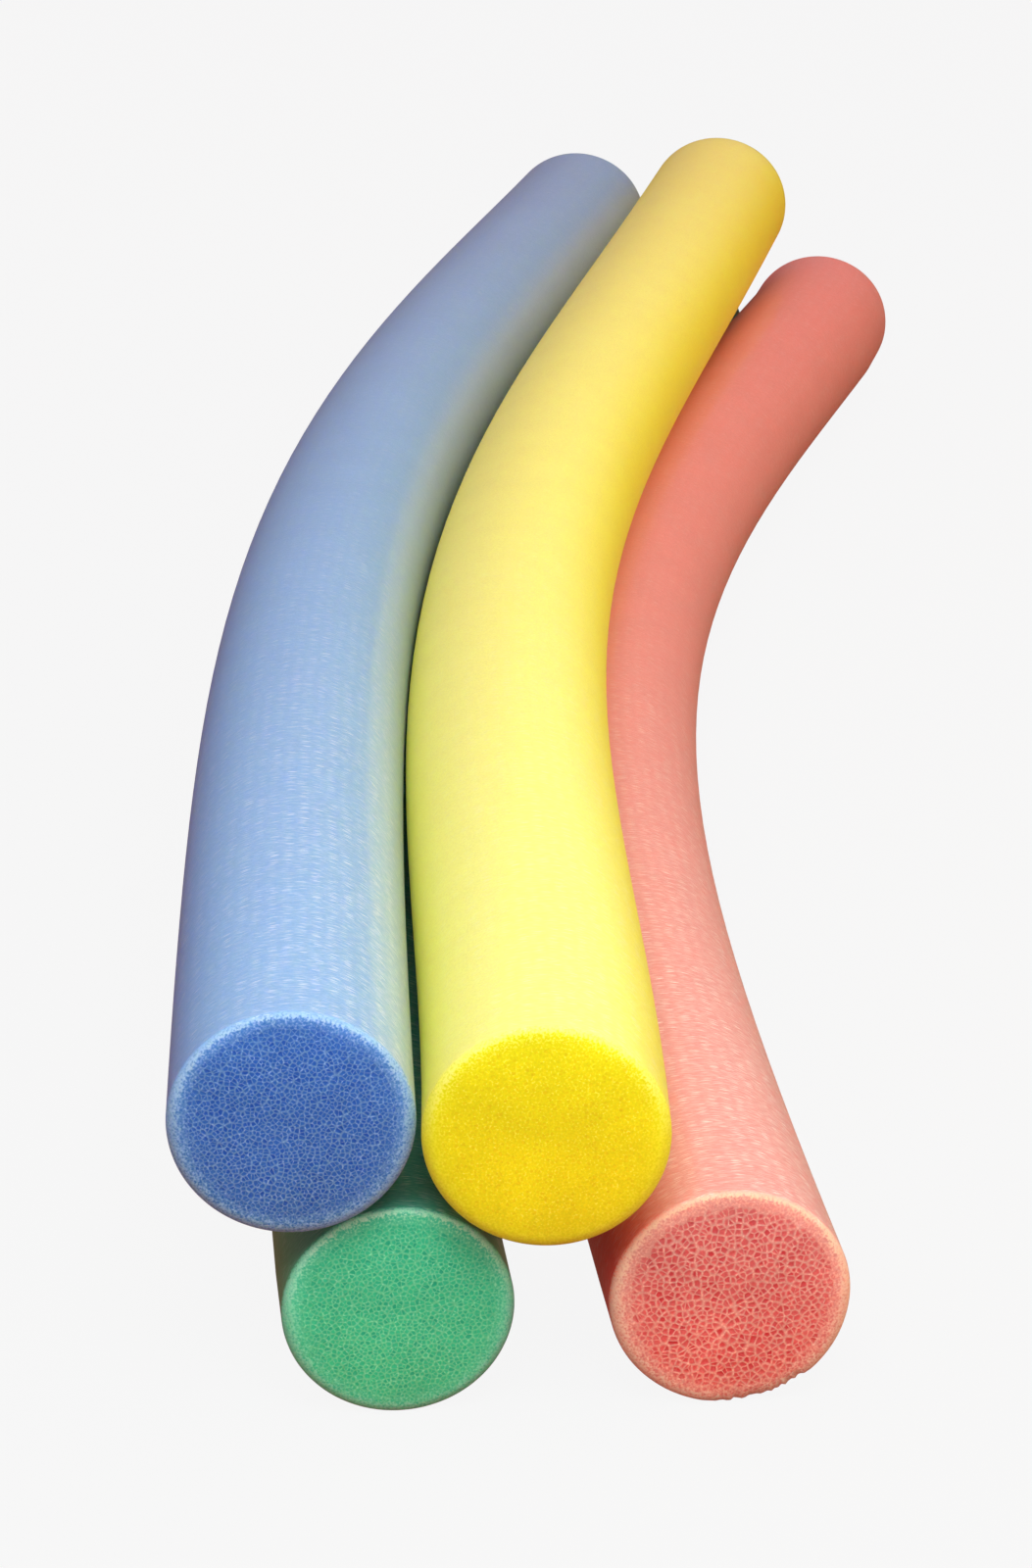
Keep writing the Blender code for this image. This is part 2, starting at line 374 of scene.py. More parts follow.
# The edge and the skin: their rings, a rounding that is wider at the foot, and the red one's torn spot by
# its angles round the bar
RIM_RINGS = 8
SKIN_RINGS = 41
ON_SKIN = 3.0
EDGE_RADIUS = 0.0020
LOW_EDGE_RADIUS = 0.0046
LOW_EDGE_BELOW = -0.3
TOP_EDGE_ABOVE = 0.85
TORN_FROM = math.radians(-104)
TORN_TO = math.radians(-46)
TORN_DEPTH = 0.0009
TOOTH_LENGTH = 0.0011
TORN_SEED = 5
TORN_LEAST = 0.4
TORN_FADE_IN = 0.25
TORN_FADE_OUT = 0.15
TORN_RADIUS_SHARES = (0.80, 0.97)
TORN_REACH = 0.009
TORN_WHOLLY_TO = 0.002
TORN_BACK_SHARE = 0.6


def torn_away(angle, reach):
    """How much of a torn edge is gone at each angle: a shallow hollow, with ragged teeth along it."""
    teeth = int(reach * (TORN_TO - TORN_FROM) / TOOTH_LENGTH)
    tooth = np.random.default_rng(TORN_SEED).uniform(0, 1, teeth)
    along = np.clip((angle - TORN_FROM) / (TORN_TO - TORN_FROM), 0, 1)
    ragged = np.interp(along * (teeth - 1), np.arange(teeth), tooth)
    window = smooth_step(along, 0, TORN_FADE_IN) * smooth_step(1 - along, 0, TORN_FADE_OUT)
    return TORN_DEPTH * window * (TORN_LEAST + ragged)


def noodle(name, line, diameter, cells, pressed=False, torn=False):
    """One closed mesh: two sawn faces, their rounded edges and the skin, bent along the noodle's line.

    A face stands out by its crown, which falls off with the fourth power of the way to its edge. The edge is
    a quarter circle, wider below than above, and the skin is rings from edge to edge. A torn bar is drawn in
    towards its middle, and back from its end, by what is gone. Each point then moves to the line at its y,
    plus its x to the line's right and its z above it, and heights from the line are lessened by the height
    share. A pressed bar is flattened where it meets the floor.
    """
    turn = np.linspace(0, 2 * math.pi, AROUND, endpoint=False)
    outward = np.column_stack([np.cos(turn), np.sin(turn)])
    narrow = smooth_step(outward[:, 1], LOW_EDGE_BELOW, TOP_EDGE_ABOVE)
    edge_radius = LOW_EDGE_RADIUS + (EDGE_RADIUS - LOW_EDGE_RADIUS) * narrow
    flat_radius = diameter / 2 - edge_radius
    flat, triangles, marks, origin = sawn_face(outward * flat_radius[:, None], **cells)
    rim = np.empty(AROUND, int)
    on_rim = np.flatnonzero(origin < AROUND)
    rim[origin[on_rim]] = on_rim
    from_middle = np.linalg.norm(flat, axis=1) / np.interp(
        np.arctan2(flat[:, 1], flat[:, 0]) % (2 * math.pi), turn, flat_radius, period=2 * math.pi)
    face_depth = FACE_CROWN * from_middle**4 + marks["pit"]

    rise = np.linspace(0, math.pi / 2, RIM_RINGS + 1)[1:, None]
    rim_radius = flat_radius + edge_radius * np.sin(rise)
    rim_depth = FACE_CROWN + edge_radius * (1 - np.cos(rise))
    skin_start = rim_depth[-1] + EDGE_RADIUS / 2
    skin_run = skin_start + (NOODLE_LENGTH - 2 * skin_start) * np.linspace(0, 1, SKIN_RINGS)[:, None]
    ring_radius = np.vstack([rim_radius, np.full(skin_run.shape, diameter / 2), rim_radius[::-1]])
    ring_depth = np.vstack([rim_depth, skin_run, NOODLE_LENGTH - rim_depth[::-1]])
    ring_share = np.full(ring_radius.shape, ON_SKIN)
    ring_share[:RIM_RINGS] = 1 + rise / (math.pi / 2)
    ring_share[-RIM_RINGS:] = ring_share[:RIM_RINGS][::-1]
    ring_x, ring_z = (ring_radius * outward[:, k] for k in (0, 1))

    bar_x = np.concatenate([flat[:, 0], ring_x.ravel(), flat[:, 0]])
    bar_y = np.concatenate([face_depth, ring_depth.ravel(), NOODLE_LENGTH - face_depth])
    bar_z = np.concatenate([flat[:, 1], ring_z.ravel(), flat[:, 1]])
    rings = len(flat) + np.arange(ring_radius.size).reshape(ring_radius.shape)
    far_start = len(flat) + ring_radius.size
    all_rings = np.vstack([rim, rings, rim + far_start])
    here, following = all_rings[:-1], all_rings[1:]
    around_face = [here, following, np.roll(following, -1, 1), np.roll(here, -1, 1)]
    skin_faces = np.stack(around_face, -1).reshape(-1, 4)
    place = np.column_stack([bar_x, bar_y, bar_z])
    if torn:
        angle = np.arctan2(bar_z, bar_x)
        share = np.hypot(bar_x, bar_z) / (diameter / 2)
        near_edge = smooth_step(share, *TORN_RADIUS_SHARES)
        near_end = smooth_step(-bar_y, -TORN_REACH, -TORN_WHOLLY_TO)
        gone = torn_away(angle, diameter / 2) * near_edge * near_end
        bar_x, bar_z = (bar * (1 - gone / (diameter / 2)) for bar in (bar_x, bar_z))
        bar_y = bar_y + gone * TORN_BACK_SHARE

    run = np.linspace(0, NOODLE_LENGTH, len(line))
    forward = np.gradient(line, axis=0)
    forward /= np.linalg.norm(forward, axis=1)[:, None]
    right = np.column_stack([forward[:, 1], -forward[:, 0], np.zeros(len(line))])
    right /= np.linalg.norm(right, axis=1)[:, None]
    upward = np.cross(right, forward)
    middle, aside, above = (
        np.column_stack([np.interp(bar_y, run, rows[:, axis]) for axis in range(3)])
        for rows in (line, right, upward)
    )
    points = middle + (aside * bar_x[:, None] + above * bar_z[:, None]) * (1, 1, HEIGHT_SHARE)
    if pressed:
        points[:, 2] = np.maximum(points[:, 2], 0)

    mesh = bpy.data.meshes.new(name)
    mesh.vertices.add(len(points))
    mesh.vertices.foreach_set("co", points.astype(np.float32).ravel())
    loops = np.concatenate([triangles.ravel(), skin_faces.ravel(), (triangles[:, ::-1] + far_start).ravel()])
    sizes = np.repeat([3, 4, 3], [len(triangles), len(skin_faces), len(triangles)])
    mesh.loops.add(len(loops))
    mesh.loops.foreach_set("vertex_index", loops.astype(np.int32))
    mesh.polygons.add(len(sizes))
    mesh.polygons.foreach_set("loop_start", (np.cumsum(sizes) - sizes).astype(np.int32))
    mesh.update(calc_edges=True)
    mesh.validate()
    mesh.shade_smooth()
    no_mark = np.zeros(ring_radius.size)
    face_marks = ("wall", "open", "shade")
    attributes = {key: np.concatenate([marks[key], no_mark, marks[key]]) for key in face_marks}
    attributes["outward"] = np.concatenate([from_middle, ring_share.ravel(), from_middle])
    for key, column in attributes.items():
        layer = mesh.attributes.new(key, "FLOAT", "POINT")
        layer.data.foreach_set("value", column.astype(np.float32))
    layer = mesh.attributes.new("place", "FLOAT_VECTOR", "POINT")
    layer.data.foreach_set("vector", place.astype(np.float32).ravel())
    piece = bpy.data.objects.new(name, mesh)
    scene.collection.objects.link(piece)
    return piece


# The foam's patterns: fine wrinkles, painted highlights as bright strokes along their crests, grain and soft
# patches. Real wrinkles are about 0.3 mm wide and the grain is finer still, so these are drawn a little
# coarser, to show.
WRINKLE_LENGTH = 0.0028
WRINKLE_WIDTH = 0.00045
WRINKLE_BEND = 0.009
BEND_PUSH = WRINKLE_BEND / 3
STROKE_LENGTH = 0.0044
STROKE_WIDTH = 0.00046
GRAIN = 0.0007
MOTTLE = 0.022
RELIEF_HEIGHT = 0.00006

# The span in which a noise mostly lies, how much each pattern lightens and darkens by it, and how far it
# shifts the edge
NOISE_SPAN = {"From Min": 0.3, "From Max": 0.7}
SKIN_GRAIN = {**NOISE_SPAN, "To Min": 0.94, "To Max": 1.06}
SKIN_MOTTLE = {**NOISE_SPAN, "To Min": 0.98, "To Max": 1.02}
CUT_SPECKLE = {**NOISE_SPAN, "To Min": 0.91, "To Max": 1.09}
CUT_PATCHES = {**NOISE_SPAN, "To Min": 0.92, "To Max": 1.08}
EDGE_RAGGED = {**NOISE_SPAN, "To Min": -0.30, "To Max": 0.30}

# The skin: the shape of its painted highlights, how many show and where, its flanks painted fuller as
# painted shade and bounced light, its right side painted paler as a painted reflection, and its far half
# painted duller and warmer as painted light. Places are on the straight bar's own axes.
STROKE_SHAPE = {"From Min": 0.42, "From Max": 0.26}
STROKE_CHANCE = {"From Min": 0.40, "From Max": 1.0}
WEAVE = {"From Min": 0.45, "From Max": 0.70, "To Max": 0.35}
STROKE_SIDE = {"From Min": -0.030, "From Max": 0.010}
LEFT_STROKES = 0.35
NEAR_END = {"From Min": 0.03, "From Max": 0.65, "To Min": 1.0, "To Max": 0.15}
FLANK_DOWN = -0.87
SHADED_FLANK = {"From Min": -0.016, "From Max": 0.035}
REFLECTION_SIDE = {"From Min": 0.022, "From Max": 0.034}
FAR_HALF = {"From Min": 0.35, "From Max": 1.1}
NEAR_PAINTED_LIGHT = (1.0, 1.0, 1.0)
FAR_PAINTED_LIGHT = (1.04, 0.90, 0.85)

# The cut: its deepest cells, painted darker partly as painted shade in their pits, the paler sparks on its
# walls, which are painted highlights, the cells drawn along its edge, where the open cells give way to them,
# and its painted light from foot to top, warmer at the foot as a painted bounce
SHADED_DEEP_CELLS = {"From Min": 0.55, "From Max": 1.0}
WALL_GLINTS = {"From Min": 0.54, "From Max": 0.70, "To Max": 0.6}
EDGE_WALLS = {"From Min": 0.04, "From Max": 0.22, "To Min": 1.0, "To Max": 0.0}
EDGE_CELLS = {"From Min": 0.020, "From Max": -0.015, "To Min": 0.25, "To Max": 0.65}
CELLS_CLEAR = {"From Min": 0.70, "From Max": 1.0, "To Min": 0.9, "To Max": 0.65}
CUT_HEIGHT = {"From Min": -0.035, "From Max": 0.035}
FOOT_PAINTED_BOUNCE = (1.06, 0.95, 0.86)
TOP_PAINTED_LIGHT = (0.94, 1.05, 1.14)

# The edge: where it starts and ends by the attribute outward, and how pale and how broken it is. Its pale
# line is partly its own colour and partly a painted highlight, strongest at the top.
RAGGED_NEAR_EDGE = {"From Min": 0.86, "From Max": 1.0}
EDGE_START = {"From Min": 0.93, "From Max": 1.3}
EDGE_HEIGHT = {"From Min": 0.0, "From Max": 0.028}
SKIN_SOONER = {**EDGE_HEIGHT, "To Min": 0.22, "To Max": 0.8}
SKIN_SOONER_SHARE = 0.5
SKIN_START = {"From Min": 1.85, "From Max": 2.3}
TOP_RIM_HIGHLIGHT = 0.9
EDGE_BROKEN = {"From Min": 0.38, "From Max": 0.60, "To Min": 0.45, "To Max": 1.15}

# Matt where it is cut and satin on the skin. Light of its own colour goes 12 mm or more into it, which
# softens every shadow.
CUT_TO_SKIN_ROUGHNESS = {"To Min": 0.85, "To Max": 0.5}
FOAM_FINISH = {
    "Subsurface Weight": 0.8,
    "Subsurface Scale": 0.012,
    "Coat Roughness": 0.15,
    "Specular IOR Level": 0.2,
    "Sheen Weight": 0.05,
    "Sheen Roughness": 0.5,
}


def foam(name, cell, dye, scatter, painted_glints, painted_haze, gloss=0.3, both_flanks=False, painted_reflection=0.0, foot_rim_highlight=0.5):
    """Polyethylene foam, dyed, extruded and sawn.

    The die closes its skin, which gives the eye a satin colour with short wrinkles round it, whose bright
    crests are painted highlights. The saw opens its cells, which gives it matt pale walls over full-coloured
    floors, inside a pale granular edge with a painted highlight at its top. Painted shade and bounced light
    give its flanks a fuller colour, a painted sheen lies near the near end, a painted reflection pales its
    right side, painted warmer light lies on its far half and on the foot of its cut, and painted shade
    partly darkens its deepest cells. The attribute outward is 0 to 1 over a cut face, 1 to 2 over its
    rounded edge and 3 on the skin. Cell is its cells' spacing, dye holds its colours, and scatter is how far
    red, green and blue light go into it, as shares of the subsurface scale. The numbers glints and haze are
    how strong its painted highlights and painted sheen are, and gloss is how strong the skin's shine is. The
    flag both_flanks paints the right side's shade like the left one's, rubbed is how strong the painted
    reflection on its right side is, and foot_rim_highlight is how strong the painted edge highlight is at
    the foot.
    """
    material = bpy.data.materials.new(name)
    material.use_nodes = True
    tree = material.node_tree
    shader = tree.nodes["Principled BSDF"]
    tone = {part: (*linear(hex_colour), 1) for part, hex_colour in dye.items()}
    place = add_node(tree, "Attribute", attribute_name="place").outputs["Vector"]
    outward, wall, shade, opened = (
        add_node(tree, "Attribute", attribute_name=mark).outputs["Fac"]
        for mark in ("outward", "wall", "shade", "open")
    )
    bar = add_node(tree, "SeparateXYZ", {0: place})
    bar_x, bar_y, bar_z = (bar.outputs[axis] for axis in "XYZ")

    # Wrinkles lie round the bar: long across and up it, narrow along it, and a little bent
    bend_place = add_node(tree, "Mapping", {"Vector": place, "Scale": (1 / WRINKLE_BEND,) * 3})
    bend = add_node(tree, "TexNoise", {"Vector": bend_place.outputs[0], "Scale": 1.0, "Detail": 1.0})
    push = add_node(tree, "VectorMath", {0: bend.outputs["Color"], 1: (0, BEND_PUSH, 0)},
                    operation="MULTIPLY")
    bent = add_node(tree, "VectorMath", {0: place, 1: push.outputs[0]}, operation="ADD")
    wrinkle_size = (1 / WRINKLE_LENGTH, 1 / WRINKLE_WIDTH, 1 / WRINKLE_LENGTH)
    wrinkle_place = add_node(tree, "Mapping", {"Vector": bent.outputs[0], "Scale": wrinkle_size})
    wrinkle = add_node(tree, "TexNoise", {"Vector": wrinkle_place.outputs[0], "Scale": 1.0, "Detail": 2.0})
    grain_place = add_node(tree, "Mapping", {"Vector": place, "Scale": (1 / GRAIN,) * 3})
    grain = add_node(tree, "TexNoise", {"Vector": grain_place.outputs[0], "Scale": 1.0, "Detail": 3.0})
    mottle_place = add_node(tree, "Mapping", {"Vector": place, "Scale": (1 / MOTTLE,) * 3})
    mottle = add_node(tree, "TexNoise", {"Vector": mottle_place.outputs[0], "Scale": 1.0, "Detail": 4.0})

    # Painted shade and bounced light: the underside and the left side, or both sides, are painted in a
    # fuller colour, and the painted sheen near the near end fades there
    aside = add_node(tree, "Math", {0: bar_x, 1: -1}, operation="ABSOLUTE" if both_flanks else "MULTIPLY")
    toward = add_node(tree, "Math", {0: bar_z, 1: FLANK_DOWN, 2: aside.outputs[0]}, operation="MULTIPLY_ADD")
    shaded_flank = add_node(tree, "MapRange", {"Value": toward.outputs[0], **SHADED_FLANK},
                     interpolation_type="SMOOTHSTEP")
    painted_bloom = add_node(tree, "MapRange", {"Value": shaded_flank.outputs[0], "To Min": painted_haze, "To Max": 0.0})

    # Painted highlights: the wrinkles' crests are painted as short bright strokes, some bright
    # and most faint, over a fine weave. They are painted strongest near the near end and weaker towards the
    # bar's left.
    stroke_size = (1 / STROKE_LENGTH, 1 / STROKE_WIDTH, 1 / STROKE_LENGTH)
    stroke_place = add_node(tree, "Mapping", {"Vector": bent.outputs[0], "Scale": stroke_size})
    glint_stroke = add_node(tree, "TexVoronoi", {"Vector": stroke_place.outputs[0], "Scale": 1.0})
    bright = add_node(tree, "MapRange", {"Value": glint_stroke.outputs["Distance"], **STROKE_SHAPE})
    chance = add_node(tree, "SeparateColor", {0: glint_stroke.outputs["Color"]})
    sparse = add_node(tree, "MapRange", {"Value": chance.outputs[0], **STROKE_CHANCE})
    weave = add_node(tree, "MapRange", {"Value": wrinkle.outputs["Fac"], **WEAVE})
    crest = add_node(tree, "Math", {0: bright.outputs[0], 1: sparse.outputs[0], 2: weave.outputs[0]},
                     operation="MULTIPLY_ADD")
    side = add_node(tree, "MapRange", {"Value": bar_x, **STROKE_SIDE, "To Min": painted_glints * LEFT_STROKES,
                                       "To Max": painted_glints})
    painted_glint = add_node(tree, "Math", {0: crest.outputs[0], 1: side.outputs[0], 2: painted_bloom.outputs[0]},
                     operation="MULTIPLY_ADD")
    fade = add_node(tree, "MapRange", {"Value": bar_y, **NEAR_END}, interpolation_type="SMOOTHSTEP")
    pale = add_node(tree, "Math", {0: painted_glint.outputs[0], 1: fade.outputs[0]}, operation="MULTIPLY")

    # The skin: its colour with painted shade and bounced light on its flanks, a painted reflection on its
    # right side and painted warmer light on its far half, a little uneven, with the painted highlights over
    # it
    flanked = add_node(tree, "Mix", {0: shaded_flank.outputs[0], 6: tone["skin"], 7: tone["shaded_flank"]},
                       data_type="RGBA")
    reflected_side = add_node(tree, "MapRange", {"Value": bar_x, **REFLECTION_SIDE, "To Max": painted_reflection})
    dyed = add_node(tree, "Mix", {0: reflected_side.outputs[0], 6: flanked.outputs[2], 7: tone["rim"]},
                    data_type="RGBA")
    far = add_node(tree, "MapRange", {"Value": bar_y, **FAR_HALF})
    far_painted_light = add_node(tree, "Mix", {0: far.outputs[0], 4: NEAR_PAINTED_LIGHT, 5: FAR_PAINTED_LIGHT}, data_type="VECTOR")
    tinted = add_node(tree, "VectorMath", {0: dyed.outputs[2], 1: far_painted_light.outputs[1]}, operation="MULTIPLY")
    grained = add_node(tree, "MapRange", {"Value": grain.outputs["Fac"], **SKIN_GRAIN})
    mottled = add_node(tree, "MapRange", {"Value": mottle.outputs["Fac"], **SKIN_MOTTLE})
    uneven = add_node(tree, "Math", {0: grained.outputs[0], 1: mottled.outputs[0]}, operation="MULTIPLY")
    plain_skin = add_node(tree, "VectorMath", {0: tinted.outputs[0], 1: uneven.outputs[0]},
                          operation="MULTIPLY")
    skin = add_node(tree, "Mix", {0: pale.outputs[0], 6: plain_skin.outputs[0], 7: tone["glint_stroke"]},
                    data_type="RGBA")

    # Cut cells: pale walls with paler sparks painted on as highlights, floors full in colour, and the deeper
    # ones painted darker, partly their own random tone and partly painted shade in their pits
    deep = add_node(tree, "MapRange", {"Value": shade, **SHADED_DEEP_CELLS})
    floor_tone = add_node(tree, "Mix", {0: deep.outputs[0], 6: tone["cell"], 7: tone["deep"]},
                          data_type="RGBA")
    wall_glint = add_node(tree, "MapRange", {"Value": grain.outputs["Fac"], **WALL_GLINTS})
    wall_tone = add_node(tree, "Mix", {0: wall_glint.outputs[0], 6: tone["wall"], 7: tone["rim"]},
                         data_type="RGBA")
    cells = add_node(tree, "Mix", {0: wall, 6: floor_tone.outputs[2], 7: wall_tone.outputs[2]},
                     data_type="RGBA")

    # Along the edge and over its rounding, the mesh has no cells, so a net of the same size is drawn on the
    # closed foam. The open cells pass into it.
    across = add_node(tree, "CombineXYZ", {0: bar_x, 1: bar_z})
    cell_place = add_node(tree, "Mapping", {"Vector": across.outputs[0], "Scale": (1 / cell,) * 3})
    wall_gap = add_node(tree, "TexVoronoi", {"Vector": cell_place.outputs[0], "Scale": 1.0},
                        voronoi_dimensions="2D", feature="DISTANCE_TO_EDGE")
    faint_wall = add_node(tree, "MapRange", {"Value": wall_gap.outputs["Distance"], **EDGE_WALLS})
    rolled = add_node(tree, "Mix", {0: faint_wall.outputs[0], 6: tone["cell"], 7: tone["wall"]},
                      data_type="RGBA")
    low = add_node(tree, "MapRange", {"Value": bar_z, **EDGE_CELLS})
    edge_tone = add_node(tree, "Mix", {0: low.outputs[0], 6: tone["closed"], 7: rolled.outputs[2]},
                         data_type="RGBA")
    clear = add_node(tree, "MapRange", {"Value": outward, **CELLS_CLEAR}, interpolation_type="SMOOTHSTEP")
    shown = add_node(tree, "Math", {0: opened, 1: clear.outputs[0]}, operation="MULTIPLY")
    sawn = add_node(tree, "Mix", {0: shown.outputs[0], 6: edge_tone.outputs[2], 7: cells.outputs[2]},
                    data_type="RGBA")

    # The whole cut: painted light, warmer at its foot as a painted bounce and cooler at its top, then
    # speckled and patchy
    upper = add_node(tree, "MapRange", {"Value": bar_z, **CUT_HEIGHT})
    painted_face_light = add_node(tree, "Mix", {0: upper.outputs[0], 4: FOOT_PAINTED_BOUNCE, 5: TOP_PAINTED_LIGHT}, data_type="VECTOR")
    warmed = add_node(tree, "VectorMath", {0: sawn.outputs[2], 1: painted_face_light.outputs[1]}, operation="MULTIPLY")
    speckled = add_node(tree, "MapRange", {"Value": grain.outputs["Fac"], **CUT_SPECKLE})
    patchy = add_node(tree, "MapRange", {"Value": mottle.outputs["Fac"], **CUT_PATCHES})
    dappled = add_node(tree, "Math", {0: speckled.outputs[0], 1: patchy.outputs[0]}, operation="MULTIPLY")
    cut = add_node(tree, "VectorMath", {0: warmed.outputs[0], 1: dappled.outputs[0]}, operation="MULTIPLY")

    # The edge between the cut face and the skin: granular and pale, and palest at the top, where a painted
    # highlight lies on it
    ragged = add_node(tree, "MapRange", {"Value": grain.outputs["Fac"], **EDGE_RAGGED})
    near_edge = add_node(tree, "MapRange", {"Value": outward, **RAGGED_NEAR_EDGE})
    roughly = add_node(tree, "Math", {0: ragged.outputs[0], 1: near_edge.outputs[0], 2: outward},
                       operation="MULTIPLY_ADD")
    on_edge = add_node(tree, "MapRange", {"Value": roughly.outputs[0], **EDGE_START})
    rim_highlight_height = add_node(tree, "MapRange", {"Value": bar_z, **EDGE_HEIGHT, "To Min": foot_rim_highlight,
                                             "To Max": TOP_RIM_HIGHLIGHT})
    broken = add_node(tree, "MapRange", {"Value": grain.outputs["Fac"], **EDGE_BROKEN})
    rim_line = add_node(tree, "Math", {0: on_edge.outputs[0], 1: rim_highlight_height.outputs[0]},
                        operation="MULTIPLY")
    rim_share = add_node(tree, "Math", {0: rim_line.outputs[0], 1: broken.outputs[0]}, operation="MULTIPLY")
    edged = add_node(tree, "Mix", {0: rim_share.outputs[0], 6: cut.outputs[0], 7: tone["rim"]},
                     data_type="RGBA")
    sooner = add_node(tree, "MapRange", {"Value": bar_z, **SKIN_SOONER})
    over = add_node(tree, "Math", {0: sooner.outputs[0], 1: SKIN_SOONER_SHARE, 2: roughly.outputs[0]},
                    operation="MULTIPLY_ADD")
    past_edge = add_node(tree, "MapRange", {"Value": over.outputs[0], **SKIN_START})
    colour = add_node(tree, "Mix", {0: past_edge.outputs[0], 6: edged.outputs[2], 7: skin.outputs[2]},
                      data_type="RGBA")
    tree.links.new(colour.outputs[2], shader.inputs["Base Color"])

    # The finish: the closed skin is smoother, with a thin shine and wrinkles that stand up from it, and the
    # grain stands up everywhere
    rough = add_node(tree, "MapRange", {"Value": past_edge.outputs[0], **CUT_TO_SKIN_ROUGHNESS})
    tree.links.new(rough.outputs[0], shader.inputs["Roughness"])
    closed_skin = add_node(tree, "Math", {0: past_edge.outputs[0], 1: gloss}, operation="MULTIPLY")
    tree.links.new(closed_skin.outputs[0], shader.inputs["Coat Weight"])
    relief = add_node(tree, "Math", {0: wrinkle.outputs["Fac"], 1: past_edge.outputs[0]},
                      operation="MULTIPLY")
    both = add_node(tree, "Math", {0: relief.outputs[0], 1: grain.outputs["Fac"]}, operation="ADD")
    bump = add_node(tree, "Bump", {"Strength": 1.0, "Distance": RELIEF_HEIGHT, "Height": both.outputs[0]})
    tree.links.new(bump.outputs[0], shader.inputs["Normal"])
    shader.inputs["Subsurface Radius"].default_value = scatter
    for socket, value in FOAM_FINISH.items():
        shader.inputs[socket].default_value = value
    return material


def dress(piece, material, body, node):
    """Gives a noodle its foam, hangs it on its body's empty and hides the CAD part that it stands for."""
    piece.data.materials.append(material)
    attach(piece, body)
    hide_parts(node)


# Its colours by part. Some are painted light: the flank colour is painted shade and bounced light, the
# stroke colour painted highlights, the deep colour partly painted shade, and the rim colour a pale edge that
# carries a painted highlight and also serves the painted reflection and painted sparks.
RED_DYE = {
    "skin": "#E38982",
    "shaded_flank": "#EC3410",
    "glint_stroke": "#FFF2EA",
    "cell": "#D95957",
    "wall": "#E29C8A",
    "deep": "#CC303A",
    "closed": "#EEAA9A",
    "rim": "#F2CDAE",
}

yellow_route, route_place = heading_route(YELLOW_HEADINGS)
like_spacing = NOODLE_DIAMETER + TOUCH_GAP
red_route = route_beside(yellow_route, route_place, RED_RIGHT_OF_YELLOW_SHARES, like_spacing)
red_plan = cut_to_length(red_route, route_place, RED_SETBACK)
red_height = HEIGHT_SHARE * NOODLE_DIAMETER / 2 - REST_FLAT_DEPTH
mounts = {mount["name"]: mount["pos_m"] for mount in frame["record"]["mounts"]}
pile_shift = np.array(mounts["red_near_end"][:2]) - red_plan[0]
red_plan = red_plan + pile_shift
red_line = np.column_stack([red_plan, np.full(len(red_plan), red_height)])
red_noodle = noodle("red_noodle_foam", red_line, NOODLE_DIAMETER, RED_CELLS, pressed=True, torn=True)
red_foam = foam("red_polyethylene_foam", RED_CELLS["cell"], RED_DYE, scatter=(1.0, 0.35, 0.3),
                painted_glints=0.9, painted_haze=0.12, foot_rim_highlight=0.6)
dress(red_noodle, red_foam, "red", "red_noodle")

# Green noodle, lower left: the same foam in green, squeezed a little thinner by the two that lie on it.
# Its cells are finer than the red one's, with a few large ones among them.
GREEN_SQUEEZE = 0.003
GREEN_LEFT_OF_RED_SHARES = (1.38, 1.285, 1.145, 1.085, 1.055, 1.03)
GREEN_SETBACK = 0.0205
GREEN_CELLS = {
    "cell": 0.00130,
    "wall_shares": (0.26, 0.60),
    "pit_share": 0.18,
    "closed_above": 0.0014,
    "seed": 83,
}
# Its colours, with painted light in the same parts as the red one's: flank, stroke, deep and rim.
GREEN_DYE = {
    "skin": "#12967E",
    "shaded_flank": "#2A9458",
    "glint_stroke": "#E4FFF0",
    "cell": "#3ABC8A",
    "wall": "#70CB96",
    "deep": "#26A880",
    "closed": "#50C89A",
    "rim": "#AEE6C4",
}

green_diameter = NOODLE_DIAMETER - GREEN_SQUEEZE
green_spacing = (NOODLE_DIAMETER + green_diameter) / 2 + TOUCH_GAP
left_of_red = tuple(-share for share in GREEN_LEFT_OF_RED_SHARES)
green_route = route_beside(red_route, route_place, left_of_red, green_spacing)
green_plan = cut_to_length(green_route, route_place, GREEN_SETBACK) + pile_shift
green_height = HEIGHT_SHARE * green_diameter / 2 - REST_FLAT_DEPTH
green_line = np.column_stack([green_plan, np.full(len(green_plan), green_height)])
green_noodle = noodle("green_noodle_foam", green_line, green_diameter, GREEN_CELLS, pressed=True)
green_foam = foam("green_polyethylene_foam", GREEN_CELLS["cell"], GREEN_DYE, scatter=(0.3, 1.0, 0.6),
                  painted_glints=0.5, painted_haze=0.05, foot_rim_highlight=0.35)
dress(green_noodle, green_foam, "green", "green_noodle")

# Yellow noodle, upper right: the same foam in yellow, with the finest and least marked cells. It bridges
# the green and the red one and lies on whichever stands higher below it.
YELLOW_RISE = 0.0064
YELLOW_CELLS = {
    "cell": 0.00115,
    "wall_shares": (0.16, 0.50),
    "pit_share": 0.05,
    "closed_above": 0.0004,
    "seed": 127,
}
# Its colours, with painted light in the same parts as the red one's: flank, stroke, deep and rim.
YELLOW_DYE = {
    "skin": "#FDF97C",
    "shaded_flank": "#FDEE10",
    "glint_stroke": "#FFFFE0",
    "cell": "#E8D90A",
    "wall": "#E8DF10",
    "deep": "#E5CE0B",
    "closed": "#E9E216",
    "rim": "#F6F27E",
}


